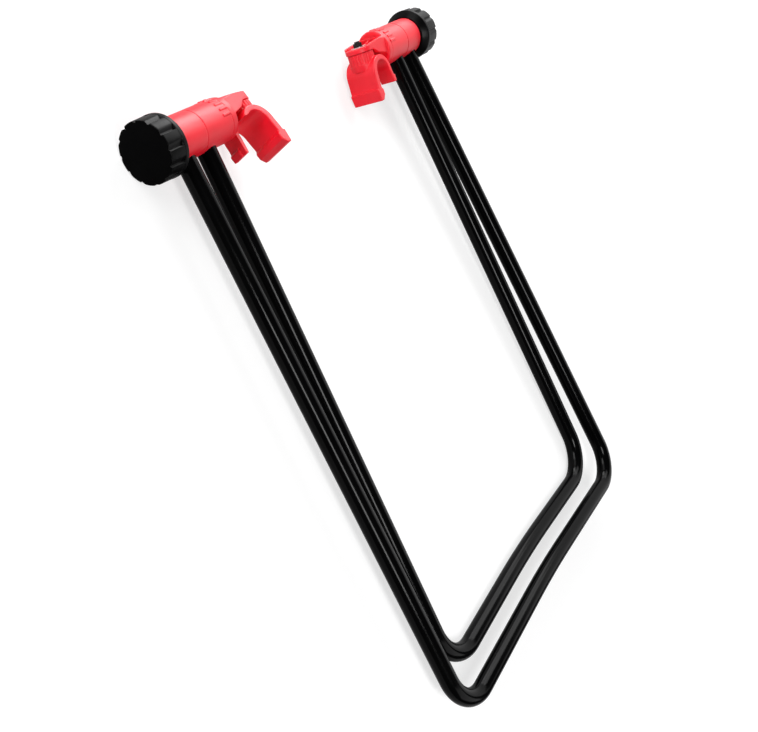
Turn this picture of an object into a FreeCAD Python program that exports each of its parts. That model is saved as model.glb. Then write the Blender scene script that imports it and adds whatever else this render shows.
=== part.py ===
import FreeCAD, Part
import math
import os

import Sketcher
from FreeCAD import Placement, Rotation, Vector

# Folding repair stand for a bicycle wheel or frame, lying nearly folded on the floor.
# Two nested tube frames turn about one barrel at each end. Each barrel carries a
# clamping knob outside and a hook arm with a swivelling hook inside.
# The barrel frame has its origin midway between the barrels, X along the barrels,
# the tube legs towards -Y and +Z up.

doc = FreeCAD.newDocument("RepairStand")
sheet = doc.addObject("Spreadsheet::Sheet", "Sizes")

SIZES = {
    # Tube frames
    "tube_radius": 8.0,
    "tube_wall": 1.2,
    "tube_inset": 5.6,
    "outer_leg_x": 180.0,
    "inner_leg_x": 154.2,
    "outer_length": 509.0,
    "inner_length": 484.5,
    "leg_spread": 16.6,
    "rail_rise": 6.5,
    "outer_bend": 33.0,
    "inner_bend": 36.0,
    "rail_bend": 90.0,
    "fold_angle": 1.66,
    # Barrel hubs
    "barrel_radius": 17.4,
    "outer_hub_in": 164.0,
    "outer_hub_out": 190.5,
    "inner_hub_in": 131.0,
    "inner_hub_out": 163.8,
    "hub_edge": 0.5,
    "socket_clearance": 0.02,
    "running_clearance": 0.05,
    "seat_clearance": 0.3,
    # Index ribs round the inner hub
    "rib_length": 9.0,
    "rib_width": 2.3,
    "rib_height": 0.8,
    "rib_root": 0.6,
    "rib_count": 12,
    "rib_pitch": 16.4,
    "rib_first": -94.8,
    # Tube screws
    "screw_radius": 1.6,
    "screw_y": 11.2,
    "screw_head_radius": 3.3,
    "screw_head_top": 13.1,
    "screw_head_bottom": 10.8,
    "screw_tip": 4.2,
    "screw_slot": 0.9,
    "screw_slot_depth": 1.2,
    # Clamping stud and its nut and washer
    "stud_radius": 4.0,
    "stud_flats": 13.0,
    "stud_head": 5.3,
    "stud_head_in": 204.0,
    "stud_nut_in": 127.0,
    "stud_nut_height": 6.5,
    "corner_ratio": 0.57735,
    "clamp_washer_radius": 12.0,
    "clamp_washer_height": 1.6,
    # Knob
    "knob_back": 190.8,
    "knob_back_radius": 18.6,
    "knob_rim_radius": 23.9,
    "knob_rim_in": 195.6,
    "knob_rim_out": 199.2,
    "knob_body_radius": 23.7,
    "knob_front_radius": 23.4,
    "knob_edge": 0.8,
    "knob_face": 215.0,
    "knob_dome_rise": 1.0,
    "lobe_count": 12,
    "lobe_phase": 43.0,
    "lobe_step": 1.7,
    "lobe_flat": 1.5,
    "lobe_ramp": 3.6,
    # Hook arm
    "collar_in": 124.5,
    "collar_out": 130.8,
    "spigot_radius": 13.5,
    "spigot_out": 138.0,
    "collar_edge": 1.4,
    "plate_bottom": 3.2,
    "plate_top": 7.5,
    "hook_axis_x": 100.0,
    "nose_radius": 13.0,
    "arm_half_width": 15.0,
    "gusset_start": 103.5,
    "gusset_mid": 110.5,
    "gusset_mid_v": -1.4,
    "gusset_low_v": -3.6,
    "gusset_fillet": 4.7,
    "far_wall_v": 9.3,
    "far_wall_end_v": 11.8,
    "near_wall_in": 95.0,
    "near_wall_step": 102.0,
    "near_wall_v": 8.8,
    "near_wall_end_v": 11.2,
    "seat_half_width": 8.6,
    "scoop_in": 108.0,
    "scoop_out": 121.5,
    "scoop_half_width": 10.0,
    "scoop_shelf": 113.6,
    "scoop_shelf_v": 6.0,
    "scoop_floor_v": 0.4,
    "scoop_rib": 2.2,
    "scoop_rib_v": 10.6,
    "plate_edge": 0.8,
    # Hook
    "boss_radius": 12.2,
    "boss_neck": 12.3,
    "boss_neck_v": -7.0,
    "boss_groove": 0.55,
    "boss_grooves": 24,
    "hook_half_width": 15.5,
    "hook_edge": 0.9,
    "hook_in": 88.2,
    "hook_out": 120.6,
    "hook_root_v": -19.3,
    "jaw_in": 94.5,
    "jaw_radius": 11.0,
    "jaw_root_v": -19.0,
    "flare_v": -13.0,
    "flare_radius": 15.0,
    "foot_step_v": -31.0,
    "foot_step": 1.9,
    "foot_end_v": -42.5,
    "foot_bulge": 2.2,
    "foot_lean": 0.8,
    "lip_v": -24.5,
    "lip_step": 3.4,
    "lip_end_v": -32.0,
    "lip_lean": 3.4,
    "lip_back": 1.0,
    "lip_near": 5.0,
    "half_leg_v": -9.5,
    "half_leg_round": 6.5,
    # Hook bolt, washer and nut
    "bolt_radius": 2.5,
    "bolt_head_flats": 8.0,
    "bolt_head": 3.5,
    "bolt_seat_v": -1.0,
    "hook_washer_radius": 7.3,
    "hook_washer_height": 1.0,
    "hook_nut_flats": 8.0,
    "hook_nut_height": 3.6,
    "hook_bolt_end": 1.4,
    # Pose of each arm about the barrels, left and right
    "left_arm_angle": -13.0,
    "right_arm_angle": 10.0,
}

for row, (alias, value) in enumerate(SIZES.items(), start=1):
    sheet.set(f"A{row}", alias)
    sheet.set(f"B{row}", str(value))
    sheet.setAlias(f"B{row}", alias)
doc.recompute()

pieces = []


def size(text):
    """Number that an expression on the sheet gives."""
    value = sheet.evalExpression(text)
    return float(getattr(value, "Value", value))


def new_body(name):
    body = doc.addObject("PartDesign::Body", name)
    body.Label = name
    pieces.append(body)
    return body


def new_sketch(body, name, role, offset="0", side="0", turn=0.0):
    """Sketch on one of the body's planes, moved along the plane's normal by offset
    and along the sketch's own first axis by side, and turned about its normal."""
    plane = next(item for item in body.Origin.OriginFeatures if item.Role == role)
    sketch = body.newObject("Sketcher::SketchObject", name)
    sketch.AttachmentSupport = [(plane, "")]
    sketch.MapMode = "FlatFace"
    sketch.AttachmentOffset = Placement(Vector(), Rotation(Vector(0, 0, 1), turn))
    sketch.setExpression("AttachmentOffset.Base.z", offset)
    sketch.setExpression("AttachmentOffset.Base.x", side)
    return sketch


def bind(sketch, kind, items, text):
    """Driving constraint whose value follows the sheet."""
    index = sketch.addConstraint(Sketcher.Constraint(kind, *items, size(text)))
    sketch.renameConstraint(index, f"size_{index}")
    sketch.setExpression(f"Constraints.size_{index}", text)


def add_outline(sketch, corners, arcs=None):
    """Closed outline through the corners. arcs gives, for the corner an arc leaves,
    +1 for a left turn or -1 for a right turn, and its radius."""
    arcs = arcs or {}
    points = [Vector(size(x), size(y), 0) for x, y in corners]
    ends = []
    for index, start in enumerate(points):
        end = points[(index + 1) % len(points)]
        if index not in arcs:
            line = sketch.addGeometry(Part.LineSegment(start, end))
            ends.append((line, 1, 2))
            continue
        turn, text = arcs[index]
        radius = size(text)
        chord = end - start
        left = Vector(-chord.y, chord.x, 0) / chord.Length
        height = math.sqrt(radius**2 - chord.Length**2 / 4)
        centre = (start + end) / 2 + left * height * turn
        first, last = (start, end) if turn > 0 else (end, start)
        angles = [math.atan2(p.y - centre.y, p.x - centre.x) for p in (first, last)]
        circle = Part.Circle(centre, Vector(0, 0, 1), radius)
        arc = sketch.addGeometry(Part.ArcOfCircle(circle, *angles))
        ends.append((arc, 1, 2) if turn > 0 else (arc, 2, 1))
        bind(sketch, "Radius", (arc,), text)
    for index, (x, y) in enumerate(corners):
        before = ends[index - 1]
        here = ends[index]
        joined = (before[0], before[2], here[0], here[1])
        sketch.addConstraint(Sketcher.Constraint("Coincident", *joined))
        bind(sketch, "DistanceX", (-1, 1, here[0], here[1]), x)
        bind(sketch, "DistanceY", (-1, 1, here[0], here[1]), y)


def add_circle(sketch, radius, x="0", y="0"):
    centre = Vector(size(x), size(y), 0)
    circle = sketch.addGeometry(Part.Circle(centre, Vector(0, 0, 1), size(radius)))
    bind(sketch, "Radius", (circle,), radius)
    bind(sketch, "DistanceX", (-1, 1, circle, 3), x)
    bind(sketch, "DistanceY", (-1, 1, circle, 3), y)


def add_hexagon(sketch, flats):
    """Hexagon with a corner on the sketch's second axis."""
    half = f"{flats} / 2"
    side = f"{flats} * Sizes.corner_ratio / 2"
    corner = f"{flats} * Sizes.corner_ratio"
    corners = [
        (half, side),
        ("0", corner),
        (f"-({half})", side),
        (f"-({half})", f"-({side})"),
        ("0", f"-({corner})"),
        (half, f"-({side})"),
    ]
    add_outline(sketch, corners)


def extrude(kind, body, sketch, length, backwards=False):
    """Pad or Pocket of a sketch. A pocket must take material away."""
    before = body.Shape.Volume if body.Tip and kind == "Pocket" else 0.0
    feature = body.newObject(f"PartDesign::{kind}", f"{kind}_{sketch.Name}")
    feature.Profile = sketch
    feature.setExpression("Length", length)
    feature.Reversed = backwards
    doc.recompute()
    if kind == "Pocket" and body.Shape.Volume >= before - 1e-6:
        raise RuntimeError(f"{feature.Name} cuts nothing")
    return feature


def revolve(body, sketch, axis="H_Axis"):
    feature = body.newObject("PartDesign::Revolution", f"Turned_{sketch.Name}")
    feature.Profile = sketch
    feature.ReferenceAxis = (sketch, [axis])
    feature.Angle = 360.0
    doc.recompute()
    return feature


def soften(body, radius, chosen):
    """Fillet on every edge of the body's last feature that the test picks."""
    base = body.Tip
    names = []
    for index, edge in enumerate(base.Shape.Edges, start=1):
        if chosen(edge):
            names.append(f"Edge{index}")
    fillet = body.newObject("PartDesign::Fillet", f"Soft_{base.Name}")
    fillet.Base = (base, names)
    fillet.setExpression("Radius", radius)
    doc.recompute()
    return fillet


def polar(body, feature, sketch, count, angle="360"):
    pattern = body.newObject("PartDesign::PolarPattern", f"Round_{sketch.Name}")
    pattern.Originals = [feature]
    pattern.Axis = (sketch, ["N_Axis"])
    pattern.setExpression("Angle", angle)
    pattern.setExpression("Occurrences", count)
    body.Tip = pattern
    doc.recompute()
    return pattern


def rail_reach(leg_x, length, bend):
    """Distance from the barrels to the far side of the rail's axis, at its bends."""
    leg = Vector(size("Sizes.leg_spread"), size(length), 0).normalize()
    rail = Vector(size(f"{leg_x} + Sizes.leg_spread"), size("Sizes.rail_rise"), 0).normalize()
    half = leg.getAngle(rail) / 2
    inside = (leg + rail).normalize() / math.sin(half)
    return size(length) + size(bend) * (1 - inside.y)


# The inner rail and both knob rims rest on the floor together, and the outer frame
# is held a small angle above the inner one.
outer_sizes = ("Sizes.outer_leg_x", "Sizes.outer_length", "Sizes.outer_bend")
inner_sizes = ("Sizes.inner_leg_x", "Sizes.inner_length", "Sizes.inner_bend")
drop = size("Sizes.knob_rim_radius - Sizes.tube_radius")
inner_tilt = math.degrees(math.asin(drop / rail_reach(*inner_sizes)))
outer_tilt = inner_tilt - size("Sizes.fold_angle")
reach = rail_reach(*outer_sizes) * math.cos(math.radians(outer_tilt))
front = reach + size("Sizes.tube_radius")
barrel_y = (front - size("Sizes.knob_rim_radius")) / 2
barrel_z = size("Sizes.knob_rim_radius")


def place(body, angle=0.0, turned=False):
    """Stands a piece in the object's frame: turned by angle about the barrels, and
    half a turn about Y first if it is the left copy of the same moulding."""
    rotation = Rotation(Vector(1, 0, 0), angle)
    if turned:
        rotation = rotation * Rotation(Vector(0, 1, 0), 180)
    body.Placement = Placement(Vector(0, barrel_y, barrel_z), rotation)


# Bent tube frame: two legs that spread towards a rail bent slightly at its middle.
def tube_frame(name, leg_x, length, bend, tilt):
    body = new_body(name)
    path = new_sketch(body, f"{name}_path", "XY_Plane")
    x = size(leg_x)
    inset = size("Sizes.tube_inset")
    spread = size("Sizes.leg_spread")
    reach_y = size(length)
    rise = size("Sizes.rail_rise")
    slope = spread / reach_y
    start = Vector(-x - inset * slope, -inset, 0)
    corner = Vector(-x - spread, -reach_y, 0)
    middle = Vector(0, rise - reach_y, 0)
    far_corner = Vector(-corner.x, corner.y, 0)
    end = Vector(-start.x, start.y, 0)
    turns = [
        (start, corner, middle, size(bend), 1),
        (corner, middle, far_corner, size("Sizes.rail_bend"), -1),
        (middle, far_corner, end, size(bend), 1),
    ]
    shapes = []
    last = start
    for before, point, after, radius, turn in turns:
        back = (before - point).normalize()
        ahead = (after - point).normalize()
        half = back.getAngle(ahead) / 2
        inside = (back + ahead).normalize()
        centre = point + inside * (radius / math.sin(half))
        first = point + back * (radius / math.tan(half))
        final = point + ahead * (radius / math.tan(half))
        ends = (first, final) if turn > 0 else (final, first)
        angles = [math.atan2(p.y - centre.y, p.x - centre.x) for p in ends]
        circle = Part.Circle(centre, Vector(0, 0, 1), radius)
        shapes.append(Part.LineSegment(last, first))
        shapes.append(Part.ArcOfCircle(circle, *angles))
        last = final
    shapes.append(Part.LineSegment(last, end))
    leg, near, half_rail, mid, other_rail, far, other_leg = path.addGeometry(shapes)
    tangents = [
        (leg, 2, near, 1),
        (near, 2, half_rail, 1),
        (half_rail, 2, mid, 2),
        (mid, 1, other_rail, 1),
        (other_rail, 2, far, 1),
        (far, 2, other_leg, 1),
    ]
    for items in tangents:
        path.addConstraint(Sketcher.Constraint("Tangent", *items))
    path.addConstraint(Sketcher.Constraint("Symmetric", leg, 1, other_leg, 2, -2))
    slope_text = f"Sizes.leg_spread / {length}"
    bind(path, "DistanceX", (leg, 1, -1, 1), f"{leg_x} + Sizes.tube_inset * {slope_text}")
    bind(path, "DistanceY", (leg, 1, -1, 1), "Sizes.tube_inset")
    bind(path, "Radius", (near,), bend)
    bind(path, "Radius", (far,), bend)
    bind(path, "Radius", (mid,), "Sizes.rail_bend")
    # A corner of the frame is where a leg and its half of the rail would meet, and
    # the rail's peak is where its halves would meet.
    near_corner = path.addGeometry(Part.Point(corner), True)
    other_corner = path.addGeometry(Part.Point(far_corner), True)
    peak = path.addGeometry(Part.Point(middle), True)
    meetings = [
        (near_corner, leg),
        (near_corner, half_rail),
        (other_corner, other_leg),
        (other_corner, other_rail),
        (peak, half_rail),
        (peak, other_rail),
        (peak, -2),
    ]
    for point, curve in meetings:
        path.addConstraint(Sketcher.Constraint("PointOnObject", point, 1, curve))
    symmetric = (near_corner, 1, other_corner, 1, -2)
    path.addConstraint(Sketcher.Constraint("Symmetric", *symmetric))
    bind(path, "DistanceX", (near_corner, 1, -1, 1), f"{leg_x} + Sizes.leg_spread")
    bind(path, "DistanceY", (near_corner, 1, -1, 1), length)
    bind(path, "DistanceY", (peak, 1, -1, 1), f"{length} - Sizes.rail_rise")
    doc.recompute()
    section = body.newObject("Sketcher::SketchObject", f"{name}_section")
    section.AttachmentSupport = [(path, "Edge1")]
    section.MapMode = "NormalToEdge"
    section.MapPathParameter = 0.0
    add_circle(section, "Sizes.tube_radius")
    add_circle(section, "Sizes.tube_radius - Sizes.tube_wall")
    pipe = body.newObject("PartDesign::AdditivePipe", f"{name}_pipe")
    pipe.Profile = section
    pipe.Spine = (path, [f"Edge{index}" for index in range(1, 8)])
    doc.recompute()
    holes = new_sketch(body, f"{name}_holes", "XY_Plane")
    screw_x = f"{leg_x} + Sizes.screw_y * {slope_text}"
    hole = "Sizes.screw_radius + Sizes.running_clearance"
    add_circle(holes, hole, screw_x, "-Sizes.screw_y")
    add_circle(holes, hole, f"-({screw_x})", "-Sizes.screw_y")
    extrude("Pocket", body, holes, "Sizes.tube_radius * 2")
    place(body, tilt)
    return body


tube_frame("outer_frame", *outer_sizes, outer_tilt)
tube_frame("inner_frame", *inner_sizes, inner_tilt)


# Plastic hub: a length of barrel with the stud's bore, a tube socket and a screw hole.
def hub(name, hub_in, hub_out, leg_x, length, tilt, counterbore):
    body = new_body(name)
    ring = new_sketch(body, f"{name}_ring", "XY_Plane")
    bore = "Sizes.stud_radius + Sizes.running_clearance"
    barrel = "Sizes.barrel_radius"
    edge = f"{barrel} - Sizes.hub_edge"
    corners = [
        (hub_in, bore),
        (hub_out, bore),
        (hub_out, edge),
        (f"{hub_out} - Sizes.hub_edge", barrel),
        (hub_in, barrel),
    ]
    if name.startswith("outer"):
        corners[1:2] = [
            (f"{hub_out} - Sizes.clamp_washer_height", bore),
            (f"{hub_out} - Sizes.clamp_washer_height", counterbore),
            (hub_out, counterbore),
        ]
    else:
        corners[0:1] = [
            (hub_in, counterbore),
            ("Sizes.spigot_out + Sizes.seat_clearance", counterbore),
            ("Sizes.spigot_out + Sizes.seat_clearance", bore),
        ]
    add_outline(ring, corners)
    revolve(body, ring)
    socket = new_sketch(body, f"{name}_socket", "XZ_Plane", "Sizes.tube_inset")
    slope = size(f"Sizes.leg_spread / {length}")
    lean = Rotation(Vector(0, 1, 0), math.degrees(math.atan(slope)))
    socket.AttachmentOffset = Placement(socket.AttachmentOffset.Base, lean)
    start_x = f"{leg_x} + Sizes.tube_inset * Sizes.leg_spread / {length}"
    socket.setExpression("AttachmentOffset.Base.x", start_x)
    add_circle(socket, "Sizes.tube_radius + Sizes.socket_clearance")
    extrude("Pocket", body, socket, "Sizes.barrel_radius * 2", True)
    screw_x = f"{leg_x} + Sizes.screw_y * Sizes.leg_spread / {length}"
    hole = new_sketch(body, f"{name}_screw_hole", "XY_Plane")
    add_circle(hole, "Sizes.screw_radius + Sizes.running_clearance", screw_x, "-Sizes.screw_y")
    extrude("Pocket", body, hole, "Sizes.barrel_radius")
    seat = new_sketch(body, f"{name}_screw_seat", "XY_Plane", "-Sizes.screw_head_bottom")
    add_circle(seat, "Sizes.screw_head_radius + Sizes.seat_clearance", screw_x, "-Sizes.screw_y")
    extrude("Pocket", body, seat, "Sizes.barrel_radius")
    place(body, tilt)
    return body


# Raised index ribs round the inner hub, next to the arm.
def index_ribs(body):
    turn = size("Sizes.rib_first")
    rib = new_sketch(body, f"{body.Name}_rib", "YZ_Plane", "Sizes.inner_hub_in", "0", turn)
    low = "Sizes.barrel_radius - Sizes.rib_root"
    high = "Sizes.barrel_radius + Sizes.rib_height"
    base = "Sizes.rib_width / 2"
    top = "Sizes.rib_width / 2 - Sizes.rib_height / 2"
    corners = [
        (low, f"-{base}"),
        ("Sizes.barrel_radius", f"-{base}"),
        (high, f"-({top})"),
        (high, top),
        ("Sizes.barrel_radius", base),
        (low, base),
    ]
    add_outline(rib, corners)
    pad = extrude("Pad", body, rib, "Sizes.rib_length")
    polar(body, pad, rib, "Sizes.rib_count", "(Sizes.rib_count - 1) * Sizes.rib_pitch")


# Pan head screw that holds a tube end in its hub from the underside.
def tube_screw(name, leg_x, length, tilt):
    body = new_body(name)
    x = f"{leg_x} + Sizes.screw_y * Sizes.leg_spread / {length}"
    shank = new_sketch(body, f"{name}_shank", "XY_Plane", "-Sizes.screw_head_bottom")
    add_circle(shank, "Sizes.screw_radius", x, "-Sizes.screw_y")
    extrude("Pad", body, shank, "Sizes.screw_head_bottom - Sizes.screw_tip")
    head = new_sketch(body, f"{name}_head", "XY_Plane", "-Sizes.screw_head_top")
    add_circle(head, "Sizes.screw_head_radius", x, "-Sizes.screw_y")
    extrude("Pad", body, head, "Sizes.screw_head_top - Sizes.screw_head_bottom")
    slot = new_sketch(body, f"{name}_slot", "XY_Plane", "-Sizes.screw_head_top")
    long = "Sizes.screw_radius + Sizes.screw_slot"
    wide = "Sizes.screw_slot / 2"
    y = "-Sizes.screw_y"
    corners = [
        (f"{x} - ({long})", f"{y} - {wide}"),
        (f"{x} - {wide}", f"{y} - {wide}"),
        (f"{x} - {wide}", f"{y} - ({long})"),
        (f"{x} + {wide}", f"{y} - ({long})"),
        (f"{x} + {wide}", f"{y} - {wide}"),
        (f"{x} + {long}", f"{y} - {wide}"),
        (f"{x} + {long}", f"{y} + {wide}"),
        (f"{x} + {wide}", f"{y} + {wide}"),
        (f"{x} + {wide}", f"{y} + {long}"),
        (f"{x} - {wide}", f"{y} + {long}"),
        (f"{x} - {wide}", f"{y} + {wide}"),
        (f"{x} - ({long})", f"{y} + {wide}"),
    ]
    add_outline(slot, corners)
    extrude("Pocket", body, slot, "Sizes.screw_slot_depth", True)
    place(body, tilt)
    return body


def mirror_left(body):
    """Left hand piece: the right one mirrored in the middle plane."""
    name = body.Label.replace("right", "left")
    copy = doc.addObject("Part::Mirroring", name)
    copy.Label = name
    copy.Source = body
    copy.Base = Vector(0, 0, 0)
    copy.Normal = Vector(1, 0, 0)
    pieces.append(copy)


spigot_seat = "Sizes.spigot_radius + Sizes.running_clearance"
washer_seat = "Sizes.clamp_washer_radius + Sizes.seat_clearance"
outer_leg = ("Sizes.outer_leg_x", "Sizes.outer_length", outer_tilt)
inner_leg = ("Sizes.inner_leg_x", "Sizes.inner_length", inner_tilt)
outer_hub = hub(
    "outer_hub_right", "Sizes.outer_hub_in", "Sizes.outer_hub_out", *outer_leg, washer_seat
)
inner_hub = hub(
    "inner_hub_right", "Sizes.inner_hub_in", "Sizes.inner_hub_out", *inner_leg, spigot_seat
)
index_ribs(inner_hub)
mirror_left(outer_hub)
mirror_left(inner_hub)
mirror_left(tube_screw("outer_tube_screw_right", *outer_leg))
mirror_left(tube_screw("inner_tube_screw_right", *inner_leg))


# Steel washer in the outer hub's face, under the knob.
def clamp_washer(name, turned):
    body = new_body(name)
    ring = new_sketch(body, f"{name}_ring", "YZ_Plane", "Sizes.outer_hub_out")
    add_circle(ring, "Sizes.clamp_washer_radius")
    add_circle(ring, "Sizes.stud_radius + Sizes.seat_clearance")
    extrude("Pad", body, ring, "Sizes.clamp_washer_height", True)
    place(body, 0.0, turned)


# Clamping stud: its head is moulded into the knob and its end screws into the arm.
def knob_stud(name, turned):
    body = new_body(name)
    shank = new_sketch(body, f"{name}_shank", "YZ_Plane", "Sizes.stud_nut_in")
    add_circle(shank, "Sizes.stud_radius")
    extrude("Pad", body, shank, "Sizes.stud_head_in - Sizes.stud_nut_in")
    head = new_sketch(body, f"{name}_head", "YZ_Plane", "Sizes.stud_head_in")
    add_hexagon(head, "Sizes.stud_flats")
    extrude("Pad", body, head, "Sizes.stud_head")
    place(body, 0.0, turned)


# Nut moulded into the arm's collar.
def stud_nut(name, angle, turned):
    body = new_body(name)
    block = new_sketch(body, f"{name}_block", "YZ_Plane", "Sizes.stud_nut_in")
    add_hexagon(block, "Sizes.stud_flats")
    add_circle(block, "Sizes.stud_radius + Sizes.running_clearance")
    extrude("Pad", body, block, "Sizes.stud_nut_height")
    place(body, angle, turned)


# Lobed knob: a smooth rim next to the barrel, a slightly domed face and a ring of
# saw-tooth steps for the fingers.
def knob(name, turned):
    body = new_body(name)
    turned_shape = new_sketch(body, f"{name}_shape", "XY_Plane")
    face_radius = "(Sizes.knob_front_radius - Sizes.knob_edge)"
    corners = [
        ("Sizes.knob_back", "0"),
        ("Sizes.knob_face + Sizes.knob_dome_rise", "0"),
        ("Sizes.knob_face", face_radius),
        ("Sizes.knob_face - Sizes.knob_edge", "Sizes.knob_front_radius"),
        ("Sizes.knob_rim_out", "Sizes.knob_body_radius"),
        ("Sizes.knob_rim_out", "Sizes.knob_rim_radius"),
        ("Sizes.knob_rim_in", "Sizes.knob_rim_radius"),
        ("Sizes.knob_back", "Sizes.knob_back_radius"),
    ]
    dome = f"({face_radius}^2 / Sizes.knob_dome_rise + Sizes.knob_dome_rise) / 2"
    arcs = {1: (1, dome), 2: (1, "Sizes.knob_edge")}
    add_outline(turned_shape, corners, arcs)
    revolve(body, turned_shape)
    phase = size("Sizes.lobe_phase")
    groove = new_sketch(body, f"{name}_groove", "YZ_Plane", "Sizes.knob_rim_out", "0", phase)
    floor = "Sizes.knob_body_radius - Sizes.lobe_step"
    outside = "Sizes.knob_rim_radius + Sizes.lobe_step"
    corners = [
        (floor, "0"),
        (outside, "0"),
        (outside, "Sizes.lobe_flat + Sizes.lobe_ramp"),
        ("Sizes.knob_body_radius", "Sizes.lobe_flat + Sizes.lobe_ramp"),
        (floor, "Sizes.lobe_flat"),
    ]
    add_outline(groove, corners)
    groove_length = "Sizes.knob_face + Sizes.knob_dome_rise - Sizes.knob_rim_out"
    cut = extrude("Pocket", body, groove, groove_length, True)
    polar(body, cut, groove, "Sizes.lobe_count")
    head = new_sketch(body, f"{name}_head_seat", "YZ_Plane", "Sizes.stud_head_in")
    add_hexagon(head, "Sizes.stud_flats")
    extrude("Pocket", body, head, "Sizes.stud_head", True)
    shank = new_sketch(body, f"{name}_shank_hole", "YZ_Plane", "Sizes.knob_back")
    add_circle(shank, "Sizes.stud_radius")
    extrude("Pocket", body, shank, "Sizes.stud_head_in - Sizes.knob_back", True)
    place(body, 0.0, turned)


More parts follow.
